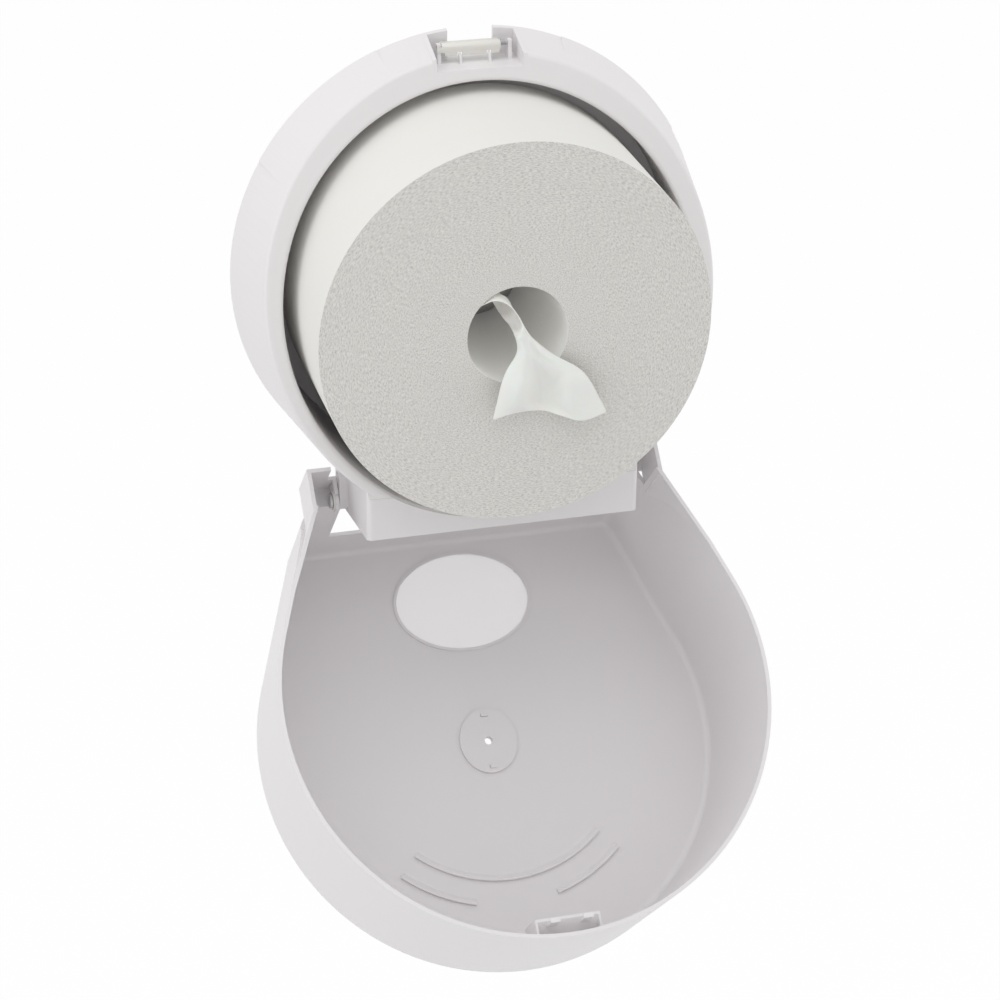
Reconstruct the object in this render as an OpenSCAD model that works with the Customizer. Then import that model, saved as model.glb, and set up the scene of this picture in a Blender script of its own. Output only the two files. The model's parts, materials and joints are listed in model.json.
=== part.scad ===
// Wall-mounted centre-feed dispenser for a jumbo toilet roll, shown open and loaded.
// Millimetres. +X right, -Y out of the wall, +Z up. The origin is on the wall plane, on the
// axis of the round housing. The cover is drawn closed and then swung down on its hinge pins.

/* [Roll] */
// Radius of a full roll
roll_r = 127.5; // [110:0.5:135]
// Length of the roll along its axis, which is the width of the paper
roll_len = 112; // [95:1:120]
// Radius of the coreless hole that the paper is drawn from
roll_hole_r = 31.9; // [20:0.1:38]
// Gap left under and behind the roll
roll_seat_gap = 0.3; // [0.2:0.05:1]

/* [Housing] */
// Room between the full roll and the wall of the well
well_gap = 9.5; // [7:0.1:14]
// Width of the sloping ring face beside the roll
ring_w = 12.3; // [9:0.1:18]
// How much wider the outer wall grows from the ring face back to the wall
wall_flare = 9.7; // [5:0.1:14]
// Depth of the ring face in front of the wall, at the height of the axis
rim_depth = 65.8; // [58:0.2:72]
// Slope of the ring face, which stands further out at the bottom, in degrees
rim_slope = 14.3; // [8:0.1:16]
// Height by which the crease of the ring sits above the housing's axis
crease_up = 1; // [0:0.1:2]
// Depth by which the well's axis sits below the housing's axis
well_drop = 5; // [3:0.1:6]
// Thickness of the housing's walls
wall_t = 2.6; // [2:0.1:3.5]
// Thickness of the well's floor
floor_t = 3.5; // [2.5:0.1:5]
// Radius of the rounded lip of the well
lip_round = 3; // [1.5:0.1:4]
// Radius of the rounded edge between ring face and outer wall
crease_round = 2.4; // [1:0.1:3.5]
// Height of the ribs on the well's floor that the roll stands against
floor_rib_h = 8; // [5:0.5:10]
// Thickness of the moulded ribs and rails
rib_t = 2.4; // [1.6:0.1:3]
// Angle of each roll rail from the bottom of the well, in degrees
rail_angle = 25; // [18:1:32]
// Height of the raised guide panels on the outer wall
pad_h = 0.7; // [0.4:0.1:0.9]
// Start of a guide panel, in degrees from the top
pad_from = 22.5; // [18:0.5:30]
// End of a guide panel, in degrees from the top
pad_to = 60; // [50:0.5:70]

/* [Chin] */
// Distance of the chin's front face from the wall
chin_front = 97; // [94:0.5:100]
// Half the width of the chin block below the roll
chin_half_w = 91.5; // [85:0.5:93]
// Height of the chin's lower front edge above the lowest point of the housing
chin_rise = 8.2; // [7.5:0.1:10]
// Slope of the chin's underside, falling towards the wall, in degrees
chin_slope = 8; // [4:0.5:8.5]
// Rounding of the chin's upright edges
chin_round = 3.5; // [2:0.1:5]

/* [Wall fixing] */
// Distance between the wall screws, both ways
screw_spacing = 150; // [110:1:160]
// Radius of the screw holes
screw_hole_r = 2.75; // [2.3:0.05:3.2]

/* [Cover] */
// Gap between the housing's back edge and the cover
cover_gap = 2.3; // [1.4:0.1:3]
// Thickness of the cover's skin
skin = 2.5; // [2:0.1:3]
// Room between the front of the roll and the inside of the cover
front_gap = 17.9; // [15:0.1:22]
// Gap between the cover's rim and the wall
rim_gap = 4.1; // [2:0.1:8]
// How much narrower the round cover is at its front face than at its rim
cover_draft = 2.4; // [0.5:0.1:3]
// Rounding inside the front edge of the cover
front_round = 4.5; // [3:0.1:8]
// Half the width of the cover at its tapering end
bowl_half_w = 121.5; // [119:0.5:122.5]
// How far the bowl stands outside the flat side at each hinge corner
band_step = 4; // [3:0.1:5]
// Depth of the flat sides at the hinge corners, measured from the rim
band_w = 52; // [46:1:60]
// Distance up the side over which the flat runs out into the bowl
band_run = 66; // [58:1:70]
// Radius of the bowl's rounded corner beside each flat
band_r = 63; // [56:1:66]
// Width of the flat strip left between the bowl's rounded corner and the rim
band_strip = 2; // [1:0.1:4]
// Height of the chin's lower front edge above the cover's flat lower end
end_below = 2.5; // [2.2:0.1:3.2]
// Radius of the two lower corners of the cover
end_round = 12; // [10:0.5:14]
// Gap on each side between the chin and the cover's cut-out
cut_gap = 2; // [1.5:0.1:3]
// Gap in front of the chin to the cover's cut-out
cut_front_gap = 7.5; // [4:0.5:10]

/* [Window] */
// Half the width of the oval level window
window_a = 47.6; // [40:0.1:50]
// Half the height of the oval level window
window_b = 34.5; // [28:0.1:36]
// Height of the window's centre below the axis
window_drop = 102.2; // [98:0.1:104]
// Play between the lens and the opening
lens_play = 0.15; // [0.1:0.05:0.3]
// Width of the raised collar round the window
collar_w = 1.8; // [1.2:0.1:3]
// Height of the raised collar round the window
collar_h = 1.2; // [0.8:0.1:2]

/* [Nozzle] */
// Radius of the paper hole
nozzle_hole_r = 2.8; // [2:0.1:5]
// Length of the straight part of the paper hole in the nozzle, before it flares
nozzle_land = 2.8; // [1.5:0.1:6]
// Radius of the paper hole's flared outer mouth
nozzle_mouth_r = 7; // [5.5:0.1:7.4]
// Radius of the outer nozzle at the cover
nozzle_r = 20; // [17:0.5:22]
// How far the nozzle stands out of the cover
nozzle_h = 9; // [6:0.5:12]
// Radius of the nozzle's shank through the cover
shank_r = 8; // [6:0.1:10]
// Half the width of the inner retaining disc
disc_a = 20.2; // [19:0.1:22]
// Half the height of the inner retaining disc
disc_b = 22.8; // [21:0.1:25]
// Thickness of the inner retaining disc
disc_t = 2.2; // [1.6:0.1:3]
// Distance of each snap arm from the nozzle's axis
clip_at = 18.1; // [16.5:0.1:19]

/* [Cover ribs] */
// Radius of the long curved rib inside the cover
arc_rib_r = 97.5; // [90:0.5:102]
// Radius of the two short curved ribs
short_rib_r = 115; // [108:0.5:120]
// Height of the curved ribs
arc_rib_h = 2.2; // [1.5:0.1:3]
// Half the angle that the curved ribs cover, in degrees
arc_rib_half = 42; // [36:1:46]
// Angle at which the short ribs start, in degrees from the top
short_rib_from = 14.5; // [10:0.5:20]

/* [Hinge] */
// Distance of the hinge axis from the wall
hinge_out = 33; // [31:0.5:35]
// Height of the hinge axis below the chin's lower front edge
hinge_below = 0.7; // [0:0.1:1.2]
// Radius of the hinge pins
pin_r = 3; // [2.5:0.1:3.5]
// Running clearance of a hinge pin in its bush
pin_play = 0.05; // [0.02:0.01:0.08]
// Thickness of the hinge plates on the chin's sides
plate_t = 5.6; // [5:0.1:6.5]
// Half the width of the hinge plates
plate_r = 6.2; // [5.5:0.1:7]
// Distance between the two round ends of a hinge plate
plate_span = 17.2; // [14:0.1:18]
// Side play between a hinge plate and the cover's ear
ear_play = 0.4; // [0.3:0.05:0.6]
// Thickness of the walls of the hinge box at each lower corner
ear_t = 2.6; // [2.4:0.1:3]
// Half the width over both hinge boxes
ear_half_w = 120; // [119:0.5:122]
// Depth of a hinge box below the hinge axis
ear_below = 14; // [11:0.5:15]
// Play between a hinge plate and the front wall of its box
ear_front_play = 0.6; // [0.4:0.1:2]
// Angle through which the cover has been opened, in degrees
open_angle = 134.8; // [0:0.1:134.8]

/* [Latch] */
// Half the width of the latch notch
notch_half_w = 28.4; // [27.6:0.1:30]
// Height of the notch's floor above the well's wall
notch_rise = 2.8; // [2.2:0.1:3.5]
// Half the width of the opening in the notch's back panel
notch_gap_half_w = 15; // [14:0.1:16]
// Distance of the latch pin from the wall
latch_out = 11.5; // [11:0.1:12.5]
// Height of the latch pin above the notch's floor
latch_rise = 10.4; // [10:0.1:10.8]
// Radius of the latch pin
latch_pin_r = 1.25; // [1:0.05:1.4]
// Left end of the latch bar
latch_left = -21.4; // [-21.8:0.1:-20]
// Right end of the latch bar
latch_right = 17; // [15.5:0.1:17.2]
// Depth of the latch bar's top flange behind the pin
flange_d = 5.5; // [5.2:0.1:5.8]
// Distance of each keeper hook from the centre
hook_at = 11; // [9.5:0.1:12]
// Width of a keeper hook
hook_w = 6.4; // [5:0.1:7]
// Distance of each fin on the notch's floor from the centre
fin_at = 9.6; // [9.4:0.1:9.8]
// Play between the latch bar and the keeper's plate
keeper_play = 0.5; // [0.4:0.1:1]

/* [Free paper] */
// Width of the free end where it hangs over the roll's face
tail_w = 72; // [60:1:90]
// Length of the free end below the middle of the roll
tail_l = 62; // [50:1:75]
// Depth inside the roll at which the twisted paper leaves its wall
tail_depth = 40; // [20:1:70]
// Radius of the twisted paper
twist_r = 4; // [3:0.1:5]

/* [Hidden] */

$fn = 96;
ring_n = 144;
fix = 0.05;

// Housing radii, from the roll outwards
well_r = roll_r + well_gap;
crease_r = well_r + ring_w;
housing_r = crease_r + wall_flare;
cover_in_r = housing_r + cover_gap;
cover_r = cover_in_r + skin;

// Longer than anything here, for cuts that go right through
far = 2 * cover_r;

// Heights that follow the housing and the well
chin_drop = housing_r - chin_rise;
hinge_drop = chin_drop + hinge_below;
end_drop = chin_drop + end_below;
notch_floor = well_r + notch_rise;
latch_up = notch_floor + latch_rise;

spring_room = 5.2;
barrel_r = latch_pin_r + 0.9;

// The chin's face stands this far in front of the ring that it grows out of
sink = 0.3;

// Places along Y
roll_back = -floor_t - floor_rib_h - 0.5;
roll_front = roll_back - roll_len;
floor_in = roll_front - front_gap;
floor_out = floor_in - skin;
rim_y0 = -rim_gap;
roll_z = -well_drop + 1.6;

// Hinge
hinge = [0, -hinge_out, -hinge_drop];
ear_in = chin_half_w + plate_t + ear_play;
bush_r = pin_r + 1.8;
bush_flange_r = bush_r + 1.6;
bush_flange_t = 1;
pin_head_t = 1.6;

// The ring face as a distance from the wall at height z: it slopes
// down to the chin's front face, where it turns upright
function rim_y(z) = max(-rim_depth + z * tan(rim_slope), -chin_front + sink);

// A ring of points about the axis: radius r, centre height c, on the sloping face moved back by d
function sloped_ring(r, c, d) =
    [for (i = [0 : ring_n - 1]) let (a = 360 * i / ring_n, z = c + r * cos(a))
        [r * sin(a), rim_y(z) + d, z]];

// A ring of points on a plane parallel to the wall
function flat_ring(r, c, y) =
    [for (i = [0 : ring_n - 1]) let (a = 360 * i / ring_n) [r * sin(a), y, c + r * cos(a)]];

// One closed solid through a list of equal rings, capped at its first and last ring
module skin_rings(rings) {
    n = len(rings[0]);
    m = len(rings);
    points = [for (ring = rings) each ring];
    sides = [for (i = [0 : m - 2], j = [0 : n - 1]) let (k = (j + 1) % n)
        each [[i * n + j, i * n + k, (i + 1) * n + k], [i * n + j, (i + 1) * n + k, (i + 1) * n + j]]];
    first = [for (j = [n - 1 : -1 : 0]) j];
    last = [for (j = [0 : n - 1]) (m - 1) * n + j];
    polyhedron(points = points, faces = concat([first], sides, [last]), convexity = 10);
}

// Straight pieces that lie along X
module rod(x0, x1, r) {
    translate([x0, 0, 0])
        rotate([0, 90, 0])
            cylinder(r = r, h = x1 - x0);
}

// Draws an outline, given in X and Z, from y0 to y1
module along_y(y0, y1) {
    translate([0, y1, 0])
        rotate([90, 0, 0])
            linear_extrude(y1 - y0)
                children();
}

// Draws an outline, given in Y and Z, from x0 to x1
module along_x(x0, x1) {
    translate([x0, 0, 0])
        rotate([90, 0, 90])
            linear_extrude(x1 - x0)
                children();
}

module block(x, y, z) {
    translate([x[0], y[0], z[0]])
        cube([x[1] - x[0], y[1] - y[0], z[1] - z[0]]);
}

module both_sides() {
    children();
    mirror([1, 0, 0])
        children();
}

// Carries a child from the closed cover to where the open cover holds it
module on_cover() {
    translate(hinge)
        rotate([open_angle, 0, 0])
            translate(-hinge)
                children();
}

// ---------------------------------------------------------------- housing

// Radius and depth of the points that round an edge, from angle a0 to a1
function round_steps(a0, a1, n) = [for (i = [0 : n]) a0 + (a1 - a0) * i / n];

module housing_tray() {
    t = wall_t;
    back_r = housing_r - t;
    well_out = well_r + t;
    skin_rings(concat(
        [flat_ring(well_out, -well_drop, 0)],
        [sloped_ring(well_out, -well_drop, t + 1)],
        [sloped_ring(crease_r - t - 1, crease_up, t + 1)],
        [flat_ring(back_r, 0, 0)],
        [flat_ring(housing_r, 0, 0)],
        [for (a = round_steps(0, 90, 4))
            sloped_ring(crease_r - crease_round * (1 - cos(a)), crease_up, crease_round * (1 - sin(a)))],
        [for (a = round_steps(90, 0, 4))
            sloped_ring(well_r + lip_round * (1 - cos(a)), -well_drop, lip_round * (1 - sin(a)))],
        [flat_ring(well_r, -well_drop, -floor_t)]
    ));
}

// The whole outer form, without its hollows
module housing_form(inset = 0) {
    skin_rings([
        flat_ring(housing_r - inset, 0, 0),
        sloped_ring(crease_r - inset, crease_up, inset)
    ]);
}

// Side view of the chin, in Y and Z
module chin_profile(inset) {
    turn = (rim_depth - chin_front + sink) / tan(rim_slope);
    top = -chin_drop + 50.8;
    polygon([
        [rim_y(top) + sink + inset, top],
        [-chin_front + 2 * sink + inset, turn],
        [-chin_front + inset, turn - sink],
        [-chin_front + inset, -chin_drop + inset],
        [inset, -chin_drop + inset - chin_front * tan(chin_slope)],
        [inset, top]
    ]);
}

module chin() {
    intersection() {
        along_x(-chin_half_w, chin_half_w)
            chin_profile(0);
        // rounds the upright edges
        translate([0, 0, -far])
            linear_extrude(far)
                union() {
                    translate([-chin_half_w, chin_round - chin_front])
                        square([2 * chin_half_w, far]);
                    translate([-chin_half_w + chin_round, -chin_front])
                        square([2 * (chin_half_w - chin_round), far]);
                    both_sides()
                        translate([chin_half_w - chin_round, chin_round - chin_front])
                            circle(chin_round);
                }
    }
}

module chin_shell() {
    difference() {
        chin();
        along_x(-chin_half_w + wall_t, chin_half_w - wall_t)
            chin_profile(wall_t);
        translate([0, 1, -well_drop])
            rotate([90, 0, 0])
                cylinder(r = well_r + wall_t / 2, h = far);
    }
}

// A tube in the chin that holds a hinge pin
module pin_boss() {
    translate([0, hinge.y, hinge.z])
        rod(chin_half_w - 12, chin_half_w - wall_t / 2, pin_r + 2.4);
}

// Raised guide panels on the outer wall, which the cover's rim slides over
module guide_panels() {
    difference() {
        intersection() {
            skin_rings([
                flat_ring(housing_r + pad_h, 0, -1),
                sloped_ring(crease_r + pad_h, crease_up, 6)
            ]);
            both_sides()
                along_y(-far, 1)
                    polygon(concat([[0, 0]],
                        [for (a = [pad_from, (pad_from + pad_to) / 2, pad_to]) far * [sin(a), cos(a)]]));
        }
        translate([0, 1, 0])
            rotate([90, 0, 0])
                cylinder(r = crease_r - 3, h = far);
    }
}

// Box round the latch notch, kept inside the housing's outer form
module notch_walls() {
    intersection() {
        housing_form();
        block([-notch_half_w - wall_t, notch_half_w + wall_t], [-rim_depth, 0], [notch_floor - wall_t, far]);
    }
}

module notch_cut() {
    block([-notch_half_w, notch_half_w], [-far, -wall_t], [notch_floor, far]);
    block([-notch_gap_half_w, notch_gap_half_w], [-far, 1], [notch_floor, far]);
}

// Lugs that carry the latch pin, and the two small ribs in front of the bar
module notch_lugs() {
    for (x = [latch_left - 0.5 - rib_t, latch_right + spring_room])
        difference() {
            along_x(x, x + rib_t)
                polygon([
                    [-latch_out - 3.6, notch_floor - fix],
                    [-latch_out - 2.2, latch_up - 3],
                    [-latch_out - 2.2, latch_up + 1.8],
                    [-latch_out + 2.2, latch_up + 1.8],
                    [-latch_out + 4.6, notch_floor - fix]
                ]);
            translate([0, -latch_out, latch_up])
                rod(x - 1, x + rib_t + 1, latch_pin_r);
        }
    for (x = [-fin_at, fin_at])
        along_x(x - 0.8, x + 0.8)
            polygon([
                [-latch_out - 6, notch_floor - fix],
                [-latch_out - 3, latch_up - 4.3],
                [-latch_out - 1.8, latch_up - 4.3],
                [-latch_out - 1.8, notch_floor - fix]
            ]);
}

module rails() {
    for (a = [-rail_angle, rail_angle])
        translate([0, 0, roll_z])
            rotate([0, a, 0])
                block([-rib_t / 2, rib_t / 2], [-chin_front + 13, -floor_t + fix],
                    [-roll_r - well_gap - wall_t, -roll_r - roll_seat_gap]);
}

// Ribs on the floor of the well that the back of the roll stands against
module floor_ribs() {
    rib_in = roll_hole_r + 12;
    rib_out = roll_r - 12;
    for (a = [0 : 60 : 300])
        translate([0, 0, roll_z])
            rotate([0, a, 0])
                block([-rib_t / 2, rib_t / 2], [roll_back + 0.5, -floor_t + fix], [rib_in, rib_out]);
    translate([0, 0, roll_z])
        rotate([90, 0, 0])
            difference() {
                cylinder(r = rib_in + rib_t, h = -roll_back - 0.5);
                translate([0, 0, -1])
                    cylinder(r = rib_in, h = -roll_back + 1);
            }
}

module at_screws() {
    for (x = [-1, 1], z = [-1, 1])
        translate([x * screw_spacing / 2, 0, z * screw_spacing / 2])
            children();
}

module housing_shell() {
    color("whitesmoke")
        difference() {
            union() {
                housing_tray();
                chin_shell();
                guide_panels();
                notch_walls();
                rails();
                floor_ribs();
                both_sides()
                    pin_boss();
            }
            notch_cut();
            both_sides()
                translate([0, hinge.y, hinge.z])
                    rod(chin_half_w - 14, chin_half_w + 1, pin_r);
            at_screws()
                rotate([90, 0, 0])
                    translate([0, 0, -1])
                        cylinder(r = screw_hole_r, h = floor_t + 2);
        }
    color("whitesmoke")
        notch_lugs();
}

// ---------------------------------------------------------------- hinge

module plate_right() {
    difference() {
        union() {
            translate([0, hinge.y, hinge.z])
                rod(chin_half_w, chin_half_w + plate_t, plate_r);
            translate([0, hinge.y, hinge.z + plate_span])
                rod(chin_half_w, chin_half_w + plate_t, plate_r);
            block([chin_half_w, chin_half_w + plate_t], [hinge.y - plate_r, hinge.y + plate_r],
                [hinge.z, hinge.z + plate_span]);
        }
        // the recess inside the plate's raised rim
        translate([0, hinge.y, hinge.z + plate_span])
            rod(chin_half_w + plate_t - 1.4, chin_half_w + plate_t + 1, plate_r - 1.8);
        translate([0, hinge.y, hinge.z])
            rod(chin_half_w - 1, chin_half_w + plate_t + 1, pin_r);
    }
}

module pin_right() {
    head_x = ear_in + ear_t + bush_flange_t + 0.3;
    translate([0, hinge.y, hinge.z]) {
        rod(chin_half_w - 11, head_x + 0.5, pin_r);
        rod(head_x, head_x + pin_head_t, pin_r + 2);
    }
}

module bush_right() {
    translate([0, hinge.y, hinge.z])
        difference() {
            union() {
                rod(ear_in, ear_in + ear_t, bush_r);
                rod(ear_in + ear_t, ear_in + ear_t + bush_flange_t, bush_flange_r);
            }
            rod(ear_in - 1, ear_in + ear_t + bush_flange_t + 1, pin_r + pin_play);
        }
}

module hinge_plate_right() { color("whitesmoke") plate_right(); }
module hinge_plate_left() { color("whitesmoke") mirror([1, 0, 0]) plate_right(); }
module hinge_pin_right() { color("silver") pin_right(); }
module hinge_pin_left() { color("silver") mirror([1, 0, 0]) pin_right(); }
module hinge_bush_right() { color("ivory") on_cover() bush_right(); }
module hinge_bush_left() { color("ivory") on_cover() mirror([1, 0, 0]) bush_right(); }

// ---------------------------------------------------------------- cover

// The outline is a big arc joined by tangents to two small corners and closed by a flat end.
// w is the half width at the end. The tangents touch both arcs at this angle from +X.
function touch(w) =
    let (cx = w - end_round, cz = end_drop - end_round)
    acos((cover_r - end_round) / norm([cx, cz])) - atan2(cz, cx);

function touch_len(w) =
    sqrt(pow(w - end_round, 2) + pow(end_drop - end_round, 2) - pow(cover_r - end_round, 2));

function on_arc(r, a) = [r * cos(a), r * sin(a)];

// The outline as a flat shape, inset by o
module outline(w, o) {
    corner = [w - end_round, end_round - end_drop];
    c = end_round - o;
    t = touch(w);
    circle(cover_r - o);
    both_sides() {
        translate(corner)
            circle(c);
        polygon([[0, 0], on_arc(cover_r - o, t), corner + on_arc(c, t), corner + [0, -c], [0, corner.y - c]]);
    }
}

// The straight walls lap a little into the round ones and stand this much further in
join_in = 0.02;
join_lap = 0.3;

// Sweeps a wall profile once round the outline. The profile's x runs outwards from the outline
// and its y runs out of the wall.
module round_outline(w) {
    cx = w - end_round;
    cz = end_drop - end_round;
    t = touch(w);
    rotate([90, 0, 0])
        rotate([0, 0, t])
            rotate_extrude(angle = 180 - 2 * t)
                translate([cover_r, 0])
                    children();
    for (side = [0, 1])
        mirror([side, 0, 0]) {
            rotate([0, -t, 0])
                translate([cover_r - join_in, join_in, join_lap])
                    rotate([180, 0, 0])
                        linear_extrude(touch_len(w) + 2 * join_lap)
                            children();
            translate([cx, 0, -cz])
                rotate([90, 0, 0])
                    rotate([0, 0, -90])
                        rotate_extrude(angle = t + 90)
                            translate([end_round, 0])
                                children();
        }
    translate([cx + join_lap, join_in, join_in - end_drop])
        rotate([0, 90, 0])
            rotate([180, 0, 0])
                linear_extrude(2 * (cx + join_lap))
                    children();
}

// How far the wall leans in at depth d from the wall plane
function lean(d) = cover_draft * (d - rim_gap) / (-floor_out - rim_gap);

band_d = rim_gap + band_w;
out_round = front_round + skin;
plate_lap = 1;

// Wall profile of the bowl from its rim, rounded into the front plate
module bowl_profile() {
    turn = -floor_out - out_round;
    dx = -lean(-floor_out);
    polygon(concat(
        [[0, rim_gap]],
        [for (a = round_steps(0, 90, 8))
            [dx - out_round * (1 - cos(a)), turn + out_round * sin(a)]],
        [[dx - out_round - plate_lap, -floor_out]],
        [[dx - out_round - plate_lap, -floor_in]],
        [for (a = round_steps(90, 0, 8))
            [dx - skin - front_round * (1 - cos(a)), turn + front_round * sin(a)]],
        [[-skin, rim_gap]]
    ));
}

// Places a child on both straight sides: its x runs outwards from the outline
module on_sides() {
    both_sides()
        rotate([0, -touch(bowl_half_w), 0])
            translate([cover_r, 0, 0])
                children();
}

// Places a child on the flats at the hinge corners, which lean out until they run out in the bowl
module on_flats() {
    on_sides()
        translate([-band_step, 0, -touch_len(bowl_half_w)])
            rotate([0, atan(band_step / band_run), 0])
                children();
}

// Side view of a flat, in Y and Z: it ends in a hollow curve where the bowl's corner is rounded
module flat_patch(grow) {
    difference() {
        translate([-band_d - grow, -30])
            square([band_d + grow + 10, band_run + 30]);
        translate([-rim_gap - band_strip - band_r, band_run])
            circle(band_r - grow);
    }
}

module cover_bowl() {
    difference() {
        union() {
            round_outline(bowl_half_w)
                bowl_profile();
            along_y(floor_out, floor_in)
                outline(bowl_half_w, cover_draft + out_round + plate_lap / 2);
        }
        on_flats()
            along_x(0, 30)
                flat_patch(0);
    }
    intersection() {
        along_y(-band_d - 10, rim_y0 - join_in)
            outline(bowl_half_w, cover_draft);
        on_flats() {
            along_x(-skin, -join_in)
                flat_patch(skin);
            along_x(-skin, 6)
                difference() {
                    flat_patch(skin);
                    flat_patch(0);
                }
        }
    }
}

// Cut-out at the cover's end that the chin fills when the cover is shut
module chin_cut() {
    block([-chin_half_w - cut_gap, chin_half_w + cut_gap], [-chin_front - cut_front_gap, 10],
        [-far, -end_drop + 23]);
}

ledge_y = -hinge_out - plate_r - ear_front_play;
ear_low = hinge_drop + ear_below;

module ear_opening() {
    block([chin_half_w, ear_half_w - ear_t], [ledge_y, 10], [-far, -end_drop + end_round + 1.3]);
}

// Box round the hinge pin at each lower corner, open towards the wall
module ear() {
    difference() {
        union() {
            // outer side
            block([ear_half_w - ear_t, ear_half_w], [ledge_y - ear_t, rim_y0], [-ear_low, -hinge_drop + 16]);
            // underside
            block([ear_in + 6.5, ear_half_w], [ledge_y - ear_t, rim_y0], [-ear_low, -ear_low + ear_t]);
            block([ear_in, ear_half_w], [ledge_y - ear_t, hinge.y + 9], [-ear_low, -ear_low + ear_t]);
            // front
            block([ear_in, ear_half_w], [ledge_y - ear_t, ledge_y], [-ear_low, -end_drop + skin]);
            // inner cheek with the pivot
            block([ear_in, ear_in + ear_t], [ledge_y - ear_t, hinge.y + 9], [-ear_low, -end_drop]);
            translate([0, hinge.y, hinge.z])
                rod(ear_in, ear_in + ear_t, bush_r + 2.6);
        }
        translate([0, hinge.y, hinge.z])
            rod(ear_in - 1, ear_in + ear_t + 1, bush_r);
    }
}

// Curved rib on the inside of the front, from angle a0 to a1 measured from the top
module arc_rib(r, a0, a1) {
    translate([0, floor_in + arc_rib_h, 0])
        rotate([90, 0, 0])
            rotate([0, 0, 90 - a1])
                rotate_extrude(angle = a1 - a0)
                    translate([r - 0.8, 0])
                        square([1.6, arc_rib_h + fix]);
}

function oval(a, b, n) = [for (i = [0 : n - 1]) [a * cos(360 * i / n), b * sin(360 * i / n)]];

module cover_shell() {
    color("whitesmoke")
        on_cover()
            difference() {
                union() {
                    difference() {
                        cover_bowl();
                        chin_cut();
                        both_sides()
                            ear_opening();
                    }
                    both_sides()
                        ear();
                    arc_rib(arc_rib_r, -arc_rib_half, arc_rib_half);
                    arc_rib(short_rib_r, short_rib_from, arc_rib_half);
                    arc_rib(short_rib_r, -arc_rib_half, -short_rib_from);
                    // collar round the window
                    along_y(floor_in - fix, floor_in + collar_h)
                        translate([0, -window_drop])
                            polygon(oval(window_a + collar_w, window_b + collar_w, 96));
                }
                along_y(floor_out - 1, floor_in + collar_h + 1)
                    translate([0, -window_drop])
                        polygon(oval(window_a, window_b, 96));
                translate([0, floor_in + 1, 0])
                    rotate([90, 0, 0])
                        cylinder(r = shank_r + 0.15, h = skin + 3);
                for (z = [-clip_at, clip_at])
                    block([-2.6, 2.6], [floor_out - 1, floor_in + 1], [z - 1.2, z + 1.2]);
            }
}

module window_lens() {
    color("gainsboro", 0.8)
        on_cover()
            along_y(floor_out, floor_in + collar_h)
                translate([0, -window_drop])
                    polygon(oval(window_a - lens_play, window_b - lens_play, 96));
}

module nozzle_body() {
    color("whitesmoke")
        on_cover()
            difference() {
                union() {
                    translate([0, floor_out, 0])
                        rotate([90, 0, 0])
                            rotate_extrude()
                                polygon(concat([[0, 0], [nozzle_r, 0], [nozzle_r, 1.2]],
                                    [for (a = [0 : 10 : 90])
                                        [8 + (nozzle_r - 9) * cos(a), 1.6 + (nozzle_h - 1.6) * sin(a)]],
                                    [[0, nozzle_h]]));
                    translate([0, floor_in, 0])
                        rotate([90, 0, 0])
                            cylinder(r = shank_r, h = skin + fix);
                    for (z = [-1, 1]) {
                        block([-2.3, 2.3], [floor_out - fix, floor_in + disc_t + 0.9],
                            [z * clip_at - 0.8, z * clip_at + 0.8]);
                        block([-2.3, 2.3], [floor_in + disc_t + 0.1, floor_in + disc_t + 0.9],
                            [z * clip_at - (z > 0 ? 0.8 : 1.5), z * clip_at + (z > 0 ? 1.5 : 0.8)]);
                    }
                }
                translate([0, floor_in, 0])
                    rotate([90, 0, 0])
                        rotate_extrude()
                            polygon([[0, -1], [nozzle_hole_r, -1], [nozzle_hole_r, nozzle_land],
                                [nozzle_mouth_r, skin + nozzle_h + 1], [0, skin + nozzle_h + 1]]);
            }
}

module nozzle_retainer() {
    color("whitesmoke")
        on_cover()
            difference() {
                along_y(floor_in, floor_in + disc_t)
                    polygon(oval(disc_a, disc_b, 72));
                translate([0, floor_in + disc_t + 1, 0])
                    rotate([90, 0, 0])
                        cylinder(r = nozzle_hole_r, h = disc_t + 2);
                for (z = [-clip_at, clip_at])
                    block([-2.5, 2.5], [floor_in - 1, floor_in + disc_t + 1], [z - 1, z + 1]);
            }
}

// Latch keeper: a plate inside the top of the cover with two hooks that snap behind the bar
bar_front = 3.2;
keeper_t = 2.2;
keeper_y = -latch_out - bar_front - keeper_play - keeper_t;
keeper_half_w = notch_half_w - 4.4;
hook_low = latch_up + 0.4;

module keeper_bracket() {
    color("whitesmoke")
        on_cover() {
            intersection() {
                union() {
                    block([-keeper_half_w, keeper_half_w], [keeper_y, keeper_y + keeper_t],
                        [latch_up - 2.2, far]);
                    for (x = [-1, 1])
                        along_x(x * (keeper_half_w + 0.8) - 1, x * (keeper_half_w + 0.8) + 1)
                            polygon([
                                [keeper_y + keeper_t, latch_up - 2.2],
                                [keeper_y, latch_up - 2.2],
                                [keeper_y - 10, latch_up + 19.8],
                                [keeper_y + keeper_t, latch_up + 19.8]
                            ]);
                }
                // seated on the cover's leaning wall
                translate([0, rim_y0, 0])
                    rotate([90, 0, 0])
                        cylinder(r1 = cover_in_r - join_in, r2 = cover_in_r - join_in - lean(band_d), h = band_w);
            }
            for (x = [-hook_at, hook_at]) {
                block([x - hook_w / 2, x + hook_w / 2], [keeper_y + keeper_t - fix, -latch_out + flange_d + 2.2],
                    [latch_up + barrel_r + 0.6, latch_up + 4.6]);
                block([x - hook_w / 2, x + hook_w / 2], [-latch_out + flange_d + 0.4, -latch_out + flange_d + 2.2],
                    [hook_low, latch_up + 4.6]);
            }
        }
}

// ---------------------------------------------------------------- latch

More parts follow.
